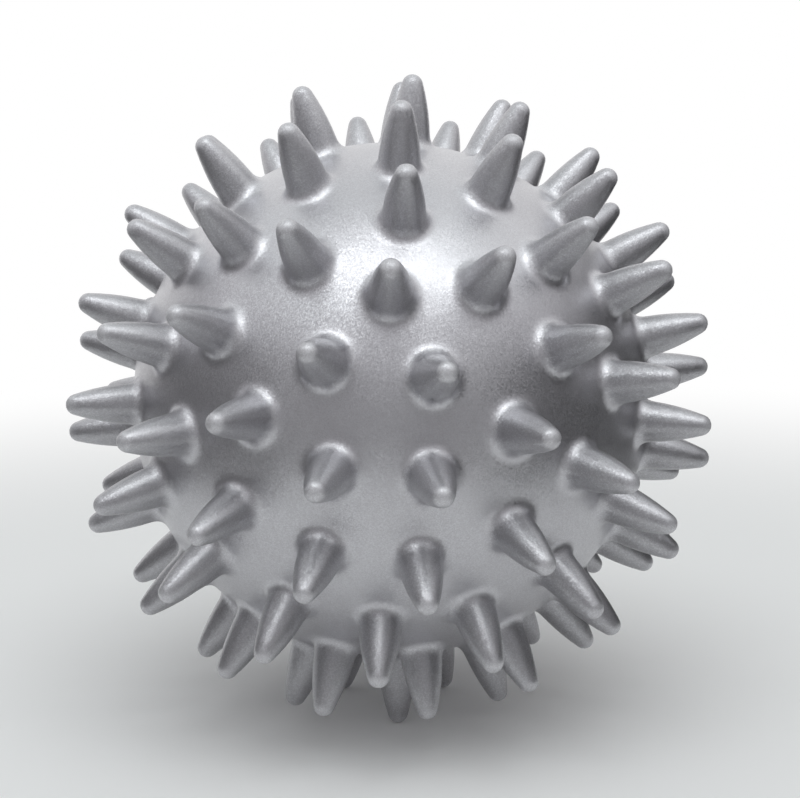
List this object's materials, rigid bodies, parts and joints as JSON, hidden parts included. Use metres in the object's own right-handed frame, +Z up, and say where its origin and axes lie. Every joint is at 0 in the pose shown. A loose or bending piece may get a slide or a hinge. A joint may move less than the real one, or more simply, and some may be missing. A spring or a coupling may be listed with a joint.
{
  "type": "spiky massage ball",
  "caption": "Hollow air-filled massage ball with radial blunt spikes moulded into its skin and a pull-out air valve plug.",
  "frame": {"origin": "on the surface the ball stands on, straight below the centre of the ball", "axes": "+Z up; -Y towards the pictured side, where the pole spike points forward and up; +X to the right as pictured"},
  "size_m": [0.0896, 0.0891, 0.0887],
  "materials": {
    "skin": "glossy silver-grey pearl soft PVC",
    "sleeve": "satin grey soft PVC",
    "plug": "satin pale grey PVC"
  },
  "bodies": {
    "ball": {"ball_skin": "skin", "valve_sleeve": "sleeve"},
    "plug": {"valve_plug": "plug"}
  },
  "joints": [
    {"name": "valve_plug_pull", "type": "slide", "parent": "ball", "child": "plug", "axis": [0, 0.8678, -0.497], "range_m": [0, 0.0109]}
  ]
}
